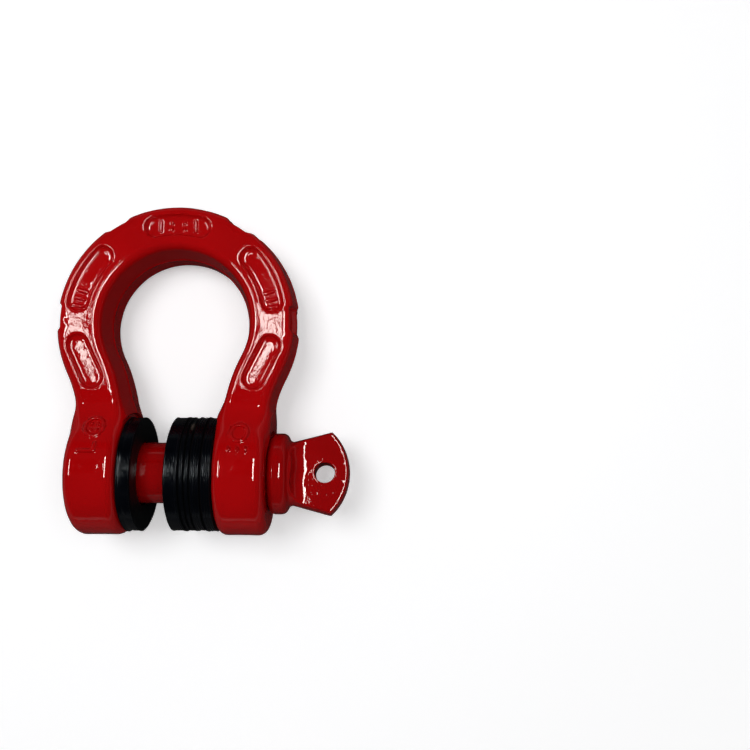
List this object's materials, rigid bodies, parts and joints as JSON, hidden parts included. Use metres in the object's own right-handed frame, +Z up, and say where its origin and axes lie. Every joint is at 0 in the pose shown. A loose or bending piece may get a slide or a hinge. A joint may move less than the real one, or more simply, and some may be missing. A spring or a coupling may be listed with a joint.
{
  "type": "bow shackle",
  "caption": "Screw pin bow shackle of red coated forged steel, lying on its side, with black rubber isolator washers on the pin between its ears.",
  "frame": {"origin": "on the pin's axis, midway between the two ears", "axes": "+X along the pin towards its head, +Y from the pin towards the crown of the bow, +Z up off the surface that the shackle lies on"},
  "size_m": [0.1077, 0.1209, 0.0448],
  "materials": {
    "red_enamel_bow": "glossy red powder coat over forged steel, with slight orange peel",
    "red_enamel_pin": "glossy red powder coat over forged steel",
    "black_rubber": "semi-gloss black moulded rubber"
  },
  "bodies": {
    "bow_body": {"bow": "red_enamel_bow"},
    "gripping_washer": {"washer_medium_outer": "black_rubber"},
    "pin": {"screw_pin": "red_enamel_pin"},
    "outer_washer": {"washer_thick_outer": "black_rubber"},
    "stack_thick": {"washer_thick_inner": "black_rubber"},
    "stack_thin_inner": {"washer_thin_inner": "black_rubber"},
    "stack_thin_outer": {"washer_thin_outer": "black_rubber"},
    "stack_medium": {"washer_medium_inner": "black_rubber"}
  },
  "joints": [
    {"name": "pin_turn", "type": "hinge", "parent": "bow_body", "child": "gripping_washer", "pos_m": [0, 0, 0], "axis": [1, 0, 0], "range_deg": [0, 3240]},
    {"name": "pin_withdraw", "type": "slide", "parent": "gripping_washer", "child": "pin", "axis": [1, 0, 0], "range_m": [0, 0.0254]},
    {"name": "outer_washer_slide", "type": "slide", "parent": "bow_body", "child": "outer_washer", "axis": [1, 0, 0], "range_m": [0, 0.0054]},
    {"name": "stack_push", "type": "slide", "parent": "bow_body", "child": "stack_thick", "axis": [-1, 0, 0], "range_m": [0, 0.0052]},
    {"name": "stack_thin_inner_slide", "type": "slide", "parent": "bow_body", "child": "stack_thin_inner", "axis": [-1, 0, 0], "range_m": [0, 0.0039]},
    {"name": "stack_thin_outer_slide", "type": "slide", "parent": "bow_body", "child": "stack_thin_outer", "axis": [-1, 0, 0], "range_m": [0, 0.0026]},
    {"name": "stack_medium_slide", "type": "slide", "parent": "bow_body", "child": "stack_medium", "axis": [-1, 0, 0], "range_m": [0, 0.0013]}
  ],
  "couplings": [
    {"joint": "pin_withdraw", "follows": "pin_turn", "m_per_rad": 0.00044917},
    {"joint": "outer_washer_slide", "follows": "pin_turn", "m_per_rad": 0.000095493},
    {"joint": "stack_thin_inner_slide", "follows": "stack_push", "ratio": 0.75},
    {"joint": "stack_thin_outer_slide", "follows": "stack_push", "ratio": 0.5},
    {"joint": "stack_medium_slide", "follows": "stack_push", "ratio": 0.25}
  ]
}
